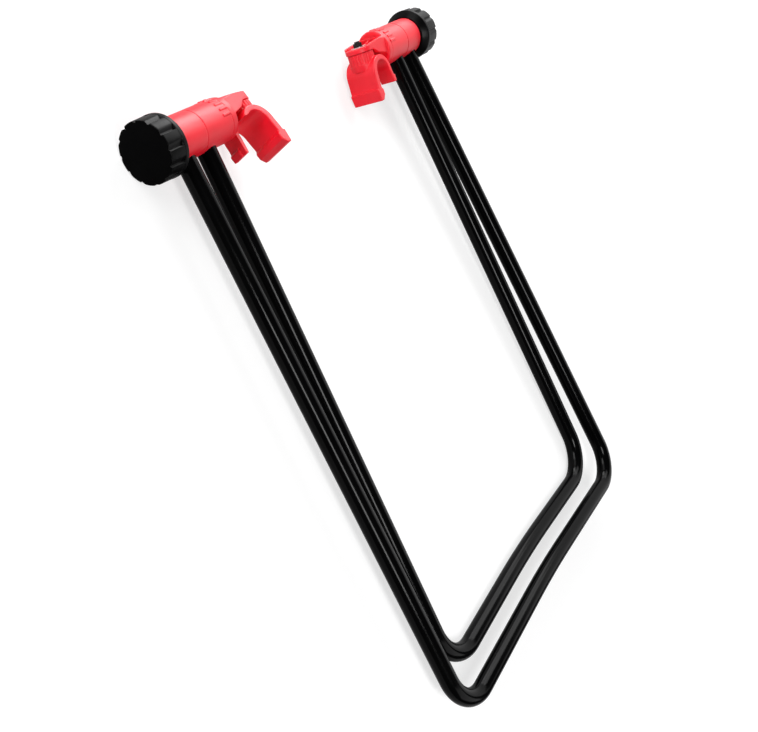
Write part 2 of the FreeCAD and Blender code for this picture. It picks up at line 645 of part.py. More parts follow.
# Hook arm: a round-nosed plate that runs into the barrel's inner end, hollowed from
# above round one rib, with a collar and a spigot that turns in the inner hub.
def hook_arm(name, angle, turned):
    body = new_body(name)
    half = "Sizes.barrel_radius"
    side = new_sketch(body, f"{name}_side", "XY_Plane", f"-{half}")
    nose = "Sizes.hook_axis_x - Sizes.nose_radius"
    corners = [
        (nose, "Sizes.plate_bottom"),
        ("Sizes.gusset_start", "Sizes.plate_bottom"),
        ("Sizes.gusset_mid", "Sizes.gusset_mid_v"),
        ("Sizes.collar_in - Sizes.gusset_fillet", "Sizes.gusset_low_v"),
        ("Sizes.collar_in", "Sizes.gusset_low_v - Sizes.gusset_fillet"),
        ("Sizes.collar_out", "Sizes.gusset_low_v - Sizes.gusset_fillet"),
        ("Sizes.collar_out", "Sizes.far_wall_end_v"),
        ("Sizes.collar_in", "Sizes.far_wall_end_v"),
        (nose, "Sizes.far_wall_v"),
    ]
    add_outline(side, corners, {3: (-1, "Sizes.gusset_fillet")})
    extrude("Pad", body, side, f"{half} * 2")
    # One wall runs along the whole plate. The other one starts behind the nose.
    near_wall = new_sketch(body, f"{name}_near_wall", "XY_Plane", half)
    corners = [
        (nose, "Sizes.plate_top"),
        ("Sizes.near_wall_in", "Sizes.plate_top"),
        ("Sizes.near_wall_step", "Sizes.near_wall_v"),
        ("Sizes.collar_in", "Sizes.near_wall_end_v"),
        ("Sizes.collar_in", half),
        (nose, half),
    ]
    add_outline(near_wall, corners)
    extrude("Pocket", body, near_wall, half)
    seat = new_sketch(body, f"{name}_seat", "XY_Plane", "Sizes.seat_half_width")
    corners = [
        (nose, "Sizes.plate_top"),
        ("Sizes.scoop_in", "Sizes.plate_top"),
        ("Sizes.scoop_in", half),
        (nose, half),
    ]
    add_outline(seat, corners)
    extrude("Pocket", body, seat, "Sizes.seat_half_width * 2")
    section = new_sketch(body, f"{name}_round", "YZ_Plane", "Sizes.collar_out")
    wide = "Sizes.barrel_radius * 2"
    square = [(f"-{wide}", f"-{wide}"), (wide, f"-{wide}"), (wide, wide), (f"-{wide}", wide)]
    add_outline(section, square)
    add_circle(section, "Sizes.barrel_radius")
    extrude("Pocket", body, section, f"Sizes.collar_out - ({nose})")
    plan = new_sketch(body, f"{name}_plan", "XZ_Plane", "Sizes.barrel_radius")
    wall_end = "Sizes.collar_in + Sizes.collar_edge"
    run = size(f"{wall_end} - Sizes.hook_axis_x")
    spread = size("Sizes.arm_half_width")
    radius = size("Sizes.nose_radius")
    lean = math.asin(radius / math.hypot(run, spread)) - math.atan2(spread, run)
    tangent_x = f"Sizes.hook_axis_x + Sizes.nose_radius * {math.sin(lean):.6f}"
    tangent_z = f"Sizes.nose_radius * {math.cos(lean):.6f}"
    outside = "Sizes.hook_axis_x - Sizes.barrel_radius * 2"
    corners = [
        (wall_end, f"-{wide}"),
        (wall_end, "-Sizes.arm_half_width"),
        (tangent_x, f"-({tangent_z})"),
        (nose, "0"),
        (tangent_x, tangent_z),
        (wall_end, "Sizes.arm_half_width"),
        (wall_end, wide),
        (outside, wide),
        (outside, f"-{wide}"),
    ]
    arcs = {2: (-1, "Sizes.nose_radius"), 3: (-1, "Sizes.nose_radius")}
    add_outline(plan, corners, arcs)
    extrude("Pocket", body, plan, "Sizes.barrel_radius * 2")
    axis = "Sizes.hook_axis_x"
    relief = new_sketch(body, f"{name}_relief", "XZ_Plane", "-Sizes.plate_bottom")
    add_circle(relief, "Sizes.boss_radius + 2 * Sizes.seat_clearance", axis)
    extrude("Pocket", body, relief, "Sizes.barrel_radius", True)
    scoop = new_sketch(body, f"{name}_scoop", "XY_Plane", "Sizes.scoop_half_width")
    above = "Sizes.barrel_radius + Sizes.plate_top"
    corners = [
        ("Sizes.scoop_in", above),
        ("Sizes.scoop_in", "Sizes.scoop_shelf_v"),
        ("Sizes.scoop_shelf", "Sizes.scoop_shelf_v"),
        ("Sizes.scoop_shelf", "Sizes.scoop_floor_v"),
        ("Sizes.scoop_out", "Sizes.scoop_floor_v"),
        ("Sizes.scoop_out", above),
    ]
    add_outline(scoop, corners)
    extrude("Pocket", body, scoop, "Sizes.scoop_half_width * 2")
    rib = new_sketch(body, f"{name}_rib", "XY_Plane", "-Sizes.scoop_rib / 2")
    corners = [
        ("Sizes.scoop_in", "Sizes.scoop_shelf_v"),
        ("Sizes.scoop_shelf", "Sizes.scoop_shelf_v"),
        ("Sizes.scoop_shelf", "Sizes.scoop_floor_v"),
        ("Sizes.scoop_out", "Sizes.scoop_floor_v"),
        ("Sizes.scoop_out", "Sizes.scoop_rib_v"),
        ("Sizes.scoop_in", "Sizes.plate_top"),
    ]
    add_outline(rib, corners)
    extrude("Pad", body, rib, "Sizes.scoop_rib")
    collar = new_sketch(body, f"{name}_collar", "XY_Plane")
    corners = [
        ("Sizes.collar_in", "0"),
        ("Sizes.spigot_out", "0"),
        ("Sizes.spigot_out", "Sizes.spigot_radius"),
        ("Sizes.collar_out", "Sizes.spigot_radius"),
        ("Sizes.collar_out", "Sizes.barrel_radius"),
        ("Sizes.collar_in + Sizes.collar_edge", "Sizes.barrel_radius"),
        ("Sizes.collar_in", "Sizes.barrel_radius - Sizes.collar_edge"),
    ]
    add_outline(collar, corners, {5: (1, "Sizes.collar_edge")})
    revolve(body, collar)
    nut_seat = new_sketch(body, f"{name}_nut_seat", "YZ_Plane", "Sizes.stud_nut_in")
    add_hexagon(nut_seat, "Sizes.stud_flats")
    extrude("Pocket", body, nut_seat, "Sizes.stud_nut_height", True)
    stud_hole = new_sketch(body, f"{name}_stud_hole", "YZ_Plane", "Sizes.spigot_out")
    add_circle(stud_hole, "Sizes.stud_radius + Sizes.running_clearance")
    hole_length = "Sizes.spigot_out - Sizes.stud_nut_in - Sizes.stud_nut_height"
    extrude("Pocket", body, stud_hole, hole_length)
    bolt_hole = new_sketch(body, f"{name}_bolt_hole", "XZ_Plane", "-Sizes.plate_top")
    add_circle(bolt_hole, "Sizes.bolt_radius + Sizes.running_clearance", axis)
    extrude("Pocket", body, bolt_hole, "Sizes.plate_top", True)
    level = size("Sizes.plate_top")
    reach_in = size("Sizes.nose_radius") - size("Sizes.plate_edge")
    swivel = Vector(size(axis), level, 0)

    def on_rim(edge):
        middle = edge.valueAt((edge.FirstParameter + edge.LastParameter) / 2)
        flat = all(abs(v.Y - level) < size("Sizes.running_clearance") for v in edge.Vertexes)
        return flat and (middle - swivel).Length > reach_in and middle.z > 0

    soften(body, "Sizes.plate_edge", on_rim)
    place(body, angle, turned)


# Hook: a ribbed boss under the arm's plate flares into an arched jaw with one full
# leg and one half-width leg.
def hook(name, angle, turned):
    body = new_body(name)
    wide = "Sizes.hook_half_width"
    outer_radius = "(Sizes.hook_out - Sizes.hook_in) / 2"
    arch_x = "(Sizes.hook_out + Sizes.hook_in) / 2"
    jaw_out = "Sizes.jaw_in + Sizes.jaw_radius * 2"
    jaw_x = "Sizes.jaw_in + Sizes.jaw_radius"
    outside = new_sketch(body, f"{name}_outside", "XY_Plane", f"-{wide}")
    foot_v = "Sizes.foot_step_v - Sizes.foot_step / 2"
    foot_out = "Sizes.hook_in - Sizes.foot_lean"
    foot_in = "Sizes.jaw_in - Sizes.foot_lean"
    lip_out = "Sizes.hook_out + Sizes.lip_step"
    corners = [
        (foot_out, "Sizes.foot_step_v"),
        (f"{foot_out} - Sizes.foot_step", foot_v),
        (foot_out, "Sizes.foot_end_v"),
        (f"{foot_in} - Sizes.foot_step", "Sizes.foot_end_v"),
        (f"{foot_in} + Sizes.foot_bulge", "Sizes.foot_end_v + 2 * Sizes.foot_bulge"),
        (f"{foot_in} + Sizes.foot_bulge", "Sizes.foot_step_v - Sizes.foot_bulge"),
        (foot_in, "Sizes.foot_step_v"),
        ("Sizes.jaw_in", "Sizes.jaw_root_v"),
        (jaw_x, "Sizes.jaw_root_v + Sizes.jaw_radius"),
        (jaw_out, "Sizes.jaw_root_v"),
        (f"{jaw_out} + Sizes.lip_lean", "Sizes.lip_end_v"),
        (lip_out, "Sizes.lip_end_v"),
        (lip_out, "Sizes.lip_v - Sizes.lip_step / 2"),
        ("Sizes.hook_out + Sizes.lip_back", "Sizes.lip_v"),
        ("Sizes.hook_out", "Sizes.hook_root_v"),
        (arch_x, f"Sizes.hook_root_v + {outer_radius}"),
        ("Sizes.hook_in", "Sizes.hook_root_v"),
    ]
    arcs = {
        7: (-1, "Sizes.jaw_radius"),
        8: (-1, "Sizes.jaw_radius"),
        14: (1, outer_radius),
        15: (1, outer_radius),
    }
    add_outline(outside, corners, arcs)
    extrude("Pad", body, outside, f"{wide} * 2")
    limit = size(wide) - size("Sizes.hook_edge") / 2
    soften(body, "Sizes.hook_edge", lambda edge: min(abs(v.Z) for v in edge.Vertexes) > limit
           and abs(edge.Vertexes[0].Z - edge.Vertexes[-1].Z) < size(wide))
    # Flare from the boss's neck to the shoulders of the arch.
    axis = "Sizes.hook_axis_x"
    neck = new_sketch(body, f"{name}_neck", "XZ_Plane", "-Sizes.boss_neck_v")
    add_circle(neck, "Sizes.boss_neck", axis)
    shoulder = new_sketch(body, f"{name}_shoulder", "XZ_Plane", "-Sizes.flare_v")
    add_circle(shoulder, "Sizes.flare_radius", "Sizes.hook_in + Sizes.flare_radius")
    loft = body.newObject("PartDesign::AdditiveLoft", f"{name}_flare")
    loft.Profile = neck
    loft.Sections = [shoulder]
    loft.Ruled = True
    doc.recompute()
    # Ribbed boss, turned about the hook's swivel axis.
    top = "Sizes.plate_bottom - Sizes.seat_clearance"
    boss = new_sketch(body, f"{name}_boss", "XZ_Plane", f"-({top})")
    add_circle(boss, "Sizes.boss_radius", axis)
    extrude("Pad", body, boss, f"{top} - Sizes.boss_neck_v")
    notch = new_sketch(body, f"{name}_notch", "XZ_Plane", f"-({top})", axis)
    add_circle(notch, "Sizes.boss_groove", "0", "Sizes.boss_radius")
    cut = extrude("Pocket", body, notch, f"{top} - Sizes.boss_neck_v", True)
    polar(body, cut, notch, "Sizes.boss_grooves")
    # Clear the jaw again, where the flare reaches into it.
    jaw = new_sketch(body, f"{name}_jaw", "XY_Plane", wide)
    corners = [
        ("Sizes.jaw_in", "Sizes.jaw_root_v"),
        (jaw_x, "Sizes.jaw_root_v + Sizes.jaw_radius"),
        (jaw_out, "Sizes.jaw_root_v"),
    ]
    arcs = {0: (-1, "Sizes.jaw_radius"), 1: (-1, "Sizes.jaw_radius")}
    add_outline(jaw, corners, arcs)
    extrude("Pocket", body, jaw, f"{wide} * 2")
    # The leg next to the barrel is cut away to half its width, in a round sweep.
    gap = new_sketch(body, f"{name}_gap", "YZ_Plane", jaw_x)
    beyond = "Sizes.hook_out + 2 * Sizes.lip_step"
    below = "Sizes.lip_end_v - Sizes.lip_step"
    corners = [
        ("Sizes.half_leg_v", f"-2 * {wide}"),
        ("Sizes.half_leg_v", "-Sizes.half_leg_round"),
        ("Sizes.half_leg_v - Sizes.half_leg_round", "0"),
        (below, "0"),
        (below, f"-2 * {wide}"),
    ]
    add_outline(gap, corners, {1: (1, "Sizes.half_leg_round")})
    extrude("Pocket", body, gap, f"{beyond} - ({jaw_x})", True)
    # The lip stops short of the cut.
    lip_end = new_sketch(body, f"{name}_lip_end", "XY_Plane")
    corners = [
        ("Sizes.hook_out + Sizes.lip_back", "Sizes.lip_v"),
        ("Sizes.hook_out + 2 * Sizes.lip_back", "Sizes.lip_end_v"),
        ("Sizes.hook_out + 2 * Sizes.lip_back", below),
        (beyond, below),
        (beyond, "Sizes.lip_v"),
    ]
    add_outline(lip_end, corners)
    extrude("Pocket", body, lip_end, "Sizes.lip_near", True)
    bolt_hole = new_sketch(body, f"{name}_bolt_hole", "XZ_Plane", f"-({top})")
    add_circle(bolt_hole, "Sizes.bolt_radius + Sizes.running_clearance", axis)
    extrude("Pocket", body, bolt_hole, f"{top} - Sizes.bolt_seat_v", True)
    head_seat = new_sketch(body, f"{name}_head_seat", "XZ_Plane", "-Sizes.bolt_seat_v", axis)
    add_hexagon(head_seat, "(Sizes.bolt_head_flats + 2 * Sizes.seat_clearance)")
    extrude("Pocket", body, head_seat, "Sizes.bolt_head + 2 * Sizes.seat_clearance", True)
    place(body, angle, turned)


# Bolt on which the hook swivels. Its head is moulded into the hook, and its washer and
# nut lie on top of the arm's plate.
def hook_bolt(name, angle, turned):
    body = new_body(name)
    axis = "Sizes.hook_axis_x"
    seat = "Sizes.bolt_seat_v - Sizes.seat_clearance"
    shank = new_sketch(body, f"{name}_shank", "XZ_Plane", f"-({seat})")
    add_circle(shank, "Sizes.bolt_radius", axis)
    stack = "Sizes.plate_top + Sizes.hook_washer_height + Sizes.hook_nut_height"
    extrude("Pad", body, shank, f"{stack} + Sizes.hook_bolt_end - ({seat})", True)
    head = new_sketch(body, f"{name}_head", "XZ_Plane", f"-({seat})", axis)
    add_hexagon(head, "Sizes.bolt_head_flats")
    extrude("Pad", body, head, "Sizes.bolt_head")
    place(body, angle, turned)


def hook_washer(name, angle, turned):
    body = new_body(name)
    ring = new_sketch(body, f"{name}_ring", "XZ_Plane", "-Sizes.plate_top")
    add_circle(ring, "Sizes.hook_washer_radius", "Sizes.hook_axis_x")
    add_circle(ring, "Sizes.bolt_radius + Sizes.running_clearance", "Sizes.hook_axis_x")
    extrude("Pad", body, ring, "Sizes.hook_washer_height", True)
    place(body, angle, turned)


def hook_nut(name, angle, turned):
    body = new_body(name)
    seat = "Sizes.plate_top + Sizes.hook_washer_height"
    block = new_sketch(body, f"{name}_block", "XZ_Plane", f"-({seat})", "Sizes.hook_axis_x")
    add_hexagon(block, "Sizes.hook_nut_flats")
    add_circle(block, "Sizes.bolt_radius + Sizes.running_clearance")
    extrude("Pad", body, block, "Sizes.hook_nut_height", True)
    place(body, angle, turned)


for side in ("right", "left"):
    arm_angle = size(f"Sizes.{side}_arm_angle")
    is_left = side == "left"
    clamp_washer(f"clamp_washer_{side}", is_left)
    knob_stud(f"knob_stud_{side}", is_left)
    knob(f"knob_{side}", is_left)
    stud_nut(f"stud_nut_{side}", arm_angle, is_left)
    hook_arm(f"hook_arm_{side}", arm_angle, is_left)
    hook(f"hook_{side}", arm_angle, is_left)
    hook_bolt(f"hook_bolt_{side}", arm_angle, is_left)
    hook_washer(f"hook_washer_{side}", arm_angle, is_left)
    hook_nut(f"hook_nut_{side}", arm_angle, is_left)

doc.recompute()

# Every object must be sound before anything is written.
for item in doc.Objects:
    if {"Invalid", "Error"} & set(item.State):
        raise RuntimeError(f"{item.Name} failed: {item.State}")
for piece in pieces:
    if piece.Shape.isNull() or not piece.Shape.isValid():
        raise RuntimeError(f"{piece.Label} has no valid shape")
    if len(piece.Shape.Solids) != 1:
        raise RuntimeError(f"{piece.Label} has {len(piece.Shape.Solids)} solids")

os.makedirs("parts", exist_ok=True)
for piece in pieces:
    piece.Shape.exportStep(f"parts/{piece.Label}.step")
    box = piece.Shape.BoundBox
    print(f"{piece.Label}: {piece.Shape.Volume:.0f} mm3, x {box.XMin:.1f} {box.XMax:.1f},"
          f" y {box.YMin:.1f} {box.YMax:.1f}, z {box.ZMin:.1f} {box.ZMax:.1f}")
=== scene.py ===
import bmesh
import bpy
import math
from mathutils import Matrix, Vector


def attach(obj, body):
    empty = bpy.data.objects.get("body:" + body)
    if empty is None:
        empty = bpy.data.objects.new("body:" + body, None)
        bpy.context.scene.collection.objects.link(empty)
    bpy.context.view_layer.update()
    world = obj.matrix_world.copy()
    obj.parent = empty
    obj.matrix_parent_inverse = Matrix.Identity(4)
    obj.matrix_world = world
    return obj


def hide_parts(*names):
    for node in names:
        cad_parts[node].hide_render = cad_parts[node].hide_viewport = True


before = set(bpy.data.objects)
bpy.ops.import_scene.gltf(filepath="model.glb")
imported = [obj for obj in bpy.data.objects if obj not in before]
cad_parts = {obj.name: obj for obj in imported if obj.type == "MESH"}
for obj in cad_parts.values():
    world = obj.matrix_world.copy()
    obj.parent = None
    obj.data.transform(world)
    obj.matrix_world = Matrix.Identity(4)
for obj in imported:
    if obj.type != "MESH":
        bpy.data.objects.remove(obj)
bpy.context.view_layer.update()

# Camera
# Looks down along the near barrel and across the folded frames, rolled so that the
# barrels stand at the top of the picture.
camera_data = bpy.data.cameras.new("camera")
camera_data.sensor_width = 36.0
camera_data.lens = 51.1655
camera_data.clip_start = 0.01
camera = bpy.data.objects.new("camera", camera_data)
bpy.context.scene.collection.objects.link(camera)
camera_place = Vector((-0.781139, 0.211376, 0.561466))
camera_right = Vector((0.464982, -0.446938, 0.764223))
camera_up = Vector((0.436885, 0.866629, 0.241010))
camera_back = camera_right.cross(camera_up)
turn = Matrix((camera_right, camera_up, camera_back)).transposed()
camera.matrix_world = Matrix.Translation(camera_place) @ turn.to_4x4()
bpy.context.scene.camera = camera

# Light
# Three soft boxes beyond the barrels, a narrow one above the near legs that draws a line
# along each tube, a white panel behind, and one box each in front and at both ends. The
# surround is white where the camera sees it and lights almost nothing.
scene = bpy.context.scene
scene.view_settings.view_transform = "Standard"
world = bpy.data.worlds.new("studio")
scene.world = world
world.use_nodes = True
surround = world.node_tree.nodes["Background"]
surround.inputs["Color"].default_value = (1.0, 1.0, 1.0, 1.0)
seen_direct = world.node_tree.nodes.new("ShaderNodeLightPath")
backdrop = world.node_tree.nodes.new("ShaderNodeMapRange")
backdrop.inputs["To Min"].default_value = 0.02
backdrop.inputs["To Max"].default_value = 1.0
world.node_tree.links.new(seen_direct.outputs["Is Camera Ray"], backdrop.inputs["Value"])
world.node_tree.links.new(backdrop.outputs["Result"], surround.inputs["Strength"])
boxes = (
    ("key_box", (0.75, 0.95, 0.42), (0.0, 0.25, 0.03), 0.9, 0.7, 5.6),
    ("near_box", (0.50, 0.88, 0.38), (-0.18, 0.26, 0.04), 0.45, 0.40, 3.4),
    ("high_box", (0.80, 0.60, 1.00), (0.0, 0.20, 0.03), 0.7, 0.6, 4.8),
    ("line_box", (-0.89, -0.37, 1.20), (-0.2, -0.37, 0.0), 0.72, 0.30, 13.0),
    ("back_panel", (1.50, 0.10, 0.70), (0.0, 0.1, 0.2), 3.0, 1.4, 16.0),
    ("front_box", (-1.00, 1.05, 0.45), (0.0, 0.2, 0.0), 0.8, 0.6, 11.0),
    ("leg_box", (0.00, -1.30, 0.90), (0.0, 0.0, 0.0), 1.2, 0.8, 4.0),
    ("far_box", (-0.30, 1.40, 0.60), (0.0, 0.2, 0.0), 1.0, 0.8, 5.0),
)
for box_name, place, aim, width, height, power in boxes:
    light = bpy.data.lights.new(box_name, "AREA")
    light.shape = "RECTANGLE"
    light.size = width
    light.size_y = height
    light.energy = power
    lamp = bpy.data.objects.new(box_name, light)
    scene.collection.objects.link(lamp)
    lamp.location = place
    lamp.rotation_euler = (Vector(aim) - Vector(place)).to_track_quat("-Z", "Y").to_euler()

# Floor
# A white studio sweep. It glows a little, and more away from the stand, so that the
# shadows stay as faint and as near as they are in a product picture.
floor_reach = 6.0
whiten_from = 0.36
whiten_to = 0.75
floor_corners = [(-floor_reach, -floor_reach, 0.0), (floor_reach, -floor_reach, 0.0),
                 (floor_reach, floor_reach, 0.0), (-floor_reach, floor_reach, 0.0)]
floor_mesh = bpy.data.meshes.new("floor")
floor_mesh.from_pydata(floor_corners, [], [(0, 1, 2, 3)])
floor = bpy.data.objects.new("floor", floor_mesh)
scene.collection.objects.link(floor)
floor_material = bpy.data.materials.new("white_sweep")
floor_material.use_nodes = True
floor_tree = floor_material.node_tree
floor_shader = floor_tree.nodes["Principled BSDF"]
floor_shader.inputs["Base Color"].default_value = (0.42, 0.42, 0.42, 1.0)
floor_shader.inputs["Roughness"].default_value = 0.95
floor_shader.inputs["Specular IOR Level"].default_value = 0.1
floor_shader.inputs["Emission Color"].default_value = (1.0, 1.0, 1.0, 1.0)
rays = floor_tree.nodes.new("ShaderNodeLightPath")
glow = floor_tree.nodes.new("ShaderNodeMapRange")
glow.inputs["To Min"].default_value = 0.10
floor_place = floor_tree.nodes.new("ShaderNodeTexCoord")
distance = floor_tree.nodes.new("ShaderNodeVectorMath")
distance.operation = "LENGTH"
whiten = floor_tree.nodes.new("ShaderNodeMapRange")
whiten.inputs["From Min"].default_value = whiten_from
whiten.inputs["From Max"].default_value = whiten_to
whiten.inputs["To Min"].default_value = 0.62
whiten.inputs["To Max"].default_value = 1.0
floor_tree.links.new(floor_place.outputs["Object"], distance.inputs[0])
floor_tree.links.new(distance.outputs["Value"], whiten.inputs["Value"])
floor_tree.links.new(whiten.outputs["Result"], glow.inputs["To Max"])
floor_tree.links.new(rays.outputs["Is Camera Ray"], glow.inputs["Value"])
floor_tree.links.new(glow.outputs["Result"], floor_shader.inputs["Emission Strength"])
floor_mesh.materials.append(floor_material)

# Tube frames
# Two U frames, each bent from one length of thin 16 mm steel tube and painted gloss
# black. The legs spread towards a rail that is bent slightly at its middle, and their
# ends are pushed into the hubs and held by a screw from below.
tube_radius = 0.008
tube_bore = 0.0068
tube_start = 0.0056
tube_sides = 40
end_row = 0.0004
leg_spread = 0.0166
rail_rise = 0.0065
rail_bend = 1.2
bend_step = math.radians(2.5)
fewest_bend_steps = 6
barrel_place = Vector((0.0, 0.24597, 0.0239))

paint = bpy.data.materials.new("black_paint")
paint.use_nodes = True
tree = paint.node_tree
shader = tree.nodes["Principled BSDF"]
shader.inputs["Specular IOR Level"].default_value = 0.10
coordinates = tree.nodes.new("ShaderNodeTexCoord")
peel = tree.nodes.new("ShaderNodeTexNoise")
peel.inputs["Scale"].default_value = 350.0
peel_bump = tree.nodes.new("ShaderNodeBump")
peel_bump.inputs["Strength"].default_value = 0.05
peel_bump.inputs["Distance"].default_value = 0.0003
cloud = tree.nodes.new("ShaderNodeTexNoise")
cloud.inputs["Scale"].default_value = 25.0
cloud.inputs["Detail"].default_value = 4.0
tone = tree.nodes.new("ShaderNodeValToRGB")
tone.color_ramp.elements[0].color = (0.0008, 0.0008, 0.0009, 1.0)
tone.color_ramp.elements[1].color = (0.0020, 0.0020, 0.0021, 1.0)
gloss = tree.nodes.new("ShaderNodeMapRange")
gloss.inputs["To Min"].default_value = 0.10
gloss.inputs["To Max"].default_value = 0.20
tree.links.new(coordinates.outputs["Object"], peel.inputs["Vector"])
tree.links.new(coordinates.outputs["Object"], cloud.inputs["Vector"])
tree.links.new(peel.outputs["Fac"], peel_bump.inputs["Height"])
tree.links.new(peel_bump.outputs["Normal"], shader.inputs["Normal"])
tree.links.new(cloud.outputs["Fac"], tone.inputs["Fac"])
tree.links.new(cloud.outputs["Fac"], gloss.inputs["Value"])
tree.links.new(tone.outputs["Color"], shader.inputs["Base Color"])
tree.links.new(gloss.outputs["Result"], shader.inputs["Roughness"])


def bent_path(leg_x, length, bend, middle_bend):
    """Points along a U frame's centre line, with a close row of them round each bend."""
    slope = leg_spread / length
    start = Vector((-leg_x - tube_start * slope, -tube_start))
    corner = Vector((-leg_x - leg_spread, -length))
    middle = Vector((0.0, rail_rise - length))
    other_corner = Vector((-corner.x, corner.y))
    end = Vector((-start.x, start.y))
    path = [start, start + (corner - start).normalized() * end_row]
    turns = ((start, corner, middle, bend), (corner, middle, other_corner, middle_bend),
             (middle, other_corner, end, bend))
    for before, point, after, radius in turns:
        back = (before - point).normalized()
        ahead = (after - point).normalized()
        half = back.angle(ahead) / 2
        centre = point + (back + ahead).normalized() * (radius / math.sin(half))
        first = point + back * (radius / math.tan(half)) - centre
        last = point + ahead * (radius / math.tan(half)) - centre
        sweep = first.angle_signed(last)
        steps = max(fewest_bend_steps, round(abs(sweep) / bend_step))
        for step in range(steps + 1):
            path.append(centre + Matrix.Rotation(-sweep * step / steps, 2) @ first)
    path.append(end + (other_corner - end).normalized() * end_row)
    path.append(end)
    return path


frames = (
    ("outer_tube", "outer_frame", "outer_frame", 0.180, 0.509, 0.033, 0.2266),
    ("inner_tube", "inner_frame", "inner_frame", 0.1542, 0.4845, 0.036, 1.8866),
)
for tube_name, node_name, body_name, leg_x, length, bend, tilt in frames:
    path = bent_path(leg_x, length, bend, rail_bend)
    stand = Matrix.Translation(barrel_place) @ Matrix.Rotation(math.radians(tilt), 4, "X")
    shell = bmesh.new()
    skins = []
    for radius in (tube_radius, tube_bore):
        rings = []
        for index, point in enumerate(path):
            before = path[max(index - 1, 0)]
            after = path[min(index + 1, len(path) - 1)]
            along = (after - before).normalized()
            across = Vector((-along.y, along.x, 0.0))
            ring = []
            for step in range(tube_sides):
                angle = math.tau * step / tube_sides
                sideways = across * (radius * math.cos(angle))
                upward = Vector((0.0, 0.0, radius * math.sin(angle)))
                ring.append(shell.verts.new(stand @ (point.to_3d() + (sideways + upward))))
            rings.append(ring)
        skins.append(rings)
    for rings, outside in zip(skins, (True, False)):
        for ring, following in zip(rings, rings[1:]):
            for step in range(tube_sides):
                corners = [ring[step], ring[step - 1], following[step - 1], following[step]]
                face = shell.faces.new(corners if outside else corners[::-1])
                face.smooth = True
    for end_ring in (0, -1):
        for step in range(tube_sides):
            corners = [skins[0][end_ring][step], skins[0][end_ring][step - 1],
                       skins[1][end_ring][step - 1], skins[1][end_ring][step]]
            shell.faces.new(corners[::-1] if end_ring == 0 else corners)
    bmesh.ops.recalc_face_normals(shell, faces=shell.faces)
    tube_mesh = bpy.data.meshes.new(tube_name)
    shell.to_mesh(tube_mesh)
    shell.free()
    tube = bpy.data.objects.new(tube_name, tube_mesh)
    scene.collection.objects.link(tube)
    tube_mesh.materials.append(paint)
    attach(tube, body_name)
    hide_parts(node_name)

# Barrel hubs
# Each barrel is two red plastic mouldings side by side, one on each frame's tube end.
# The inner one has raised index ribs next to the hook arm. Moulding leaves the plastic
# with soft edges, a fine grain and a slightly uneven colour.
plastic = bpy.data.materials.new("red_plastic")
plastic.use_nodes = True
tree = plastic.node_tree
shader = tree.nodes["Principled BSDF"]
shader.inputs["Subsurface Weight"].default_value = 0.10
shader.inputs["Subsurface Radius"].default_value = (1.0, 0.12, 0.08)
shader.inputs["Subsurface Scale"].default_value = 0.0015
coordinates = tree.nodes.new("ShaderNodeTexCoord")
flow = tree.nodes.new("ShaderNodeTexNoise")
flow.inputs["Scale"].default_value = 38.0
flow.inputs["Detail"].default_value = 4.0
flow.inputs["Distortion"].default_value = 0.6
tone = tree.nodes.new("ShaderNodeValToRGB")
tone.color_ramp.elements[0].position = 0.32
tone.color_ramp.elements[0].color = (0.76, 0.004, 0.016, 1.0)
tone.color_ramp.elements[1].position = 0.72
tone.color_ramp.elements[1].color = (0.88, 0.007, 0.024, 1.0)
gloss = tree.nodes.new("ShaderNodeMapRange")
gloss.inputs["To Min"].default_value = 0.34
gloss.inputs["To Max"].default_value = 0.48
grain = tree.nodes.new("ShaderNodeTexNoise")
grain.inputs["Scale"].default_value = 1300.0
grain.inputs["Detail"].default_value = 2.0
dimple = tree.nodes.new("ShaderNodeTexNoise")
dimple.inputs["Scale"].default_value = 160.0
relief = tree.nodes.new("ShaderNodeMath")
relief.operation = "MULTIPLY_ADD"
relief.inputs[1].default_value = 2.0
bump = tree.nodes.new("ShaderNodeBump")
bump.inputs["Strength"].default_value = 0.10
bump.inputs["Distance"].default_value = 0.0002
tree.links.new(coordinates.outputs["Object"], flow.inputs["Vector"])
tree.links.new(coordinates.outputs["Object"], grain.inputs["Vector"])
tree.links.new(coordinates.outputs["Object"], dimple.inputs["Vector"])
tree.links.new(flow.outputs["Fac"], tone.inputs["Fac"])
tree.links.new(tone.outputs["Color"], shader.inputs["Base Color"])
tree.links.new(flow.outputs["Fac"], gloss.inputs["Value"])
tree.links.new(gloss.outputs["Result"], shader.inputs["Roughness"])
tree.links.new(dimple.outputs["Fac"], relief.inputs[0])
tree.links.new(grain.outputs["Fac"], relief.inputs[2])
tree.links.new(relief.outputs["Value"], bump.inputs["Height"])
tree.links.new(bump.outputs["Normal"], shader.inputs["Normal"])


same_point = 0.000001


